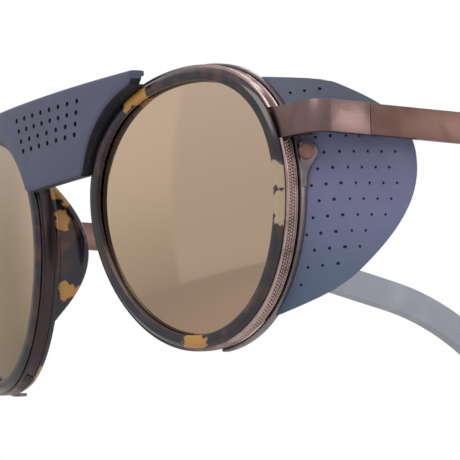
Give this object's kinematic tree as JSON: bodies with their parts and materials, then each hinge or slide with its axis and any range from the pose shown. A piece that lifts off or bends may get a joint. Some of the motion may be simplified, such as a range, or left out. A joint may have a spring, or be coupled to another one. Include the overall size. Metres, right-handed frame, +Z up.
{
  "type": "glacier glasses",
  "caption": "Mountaineering sunglasses with round mirrored lenses, tortoise rims in metal rings, a perforated bridge cover, leather side shields and folding curved temples.",
  "frame": {"origin": "middle of the glasses from side to side and from front to back, on the surface that the two rings and the two temple tips stand on", "axes": "+X towards the wearer's left, +Y from the lenses back along the temples, +Z up"},
  "size_m": [0.1456, 0.168, 0.0569],
  "materials": {
    "lens": "bronze mirror-coated lens, opaque from outside",
    "tortoise": "polished tortoiseshell acetate, near-black blue-brown with amber and cream patches",
    "bronze": "satin rose-bronze plated steel",
    "steel": "darker bronze plated steel",
    "copper": "satin copper-pink",
    "leather": "matte slate-blue leather, punched with small holes",
    "sleeve": "soft matte slate-grey rubber"
  },
  "bodies": {
    "front": {"lens_l": "lens", "lens_r": "lens", "acetate_rim_l": "tortoise", "acetate_rim_r": "tortoise", "metal_ring_l": "bronze", "metal_ring_r": "bronze", "ring_lock_l": "steel", "ring_lock_r": "steel", "lock_screw_l": "steel", "lock_screw_r": "steel", "bridge_bar": "steel", "bridge_cover": "leather", "bridge_studs": "steel", "endpiece_l": "bronze", "endpiece_r": "bronze", "hinge_front_l": "steel", "hinge_front_r": "steel", "hinge_screw_l": "steel", "hinge_screw_r": "steel", "shield_front_l": "leather", "shield_front_r": "leather", "shield_bracket_l": "bronze", "shield_bracket_r": "bronze", "shield_rivet_l": "copper", "shield_rivet_r": "copper", "rivet_washer_l": "steel", "rivet_washer_r": "steel"},
    "temple_left": {"temple_l": "bronze", "temple_tip_l": "sleeve", "hinge_rear_l": "steel", "shield_flap_l": "leather"},
    "temple_right": {"temple_r": "bronze", "temple_tip_r": "sleeve", "hinge_rear_r": "steel", "shield_flap_r": "leather"}
  },
  "joints": [
    {"name": "left_hinge", "type": "hinge", "parent": "front", "child": "temple_left", "pos_m": [0.0688, -0.05617, 0.03981], "axis": [0, 0.0698, 0.9976], "range_deg": [0, 86]},
    {"name": "right_hinge", "type": "hinge", "parent": "front", "child": "temple_right", "pos_m": [-0.0688, -0.05617, 0.03981], "axis": [0, -0.0698, -0.9976], "range_deg": [0, 78]}
  ]
}
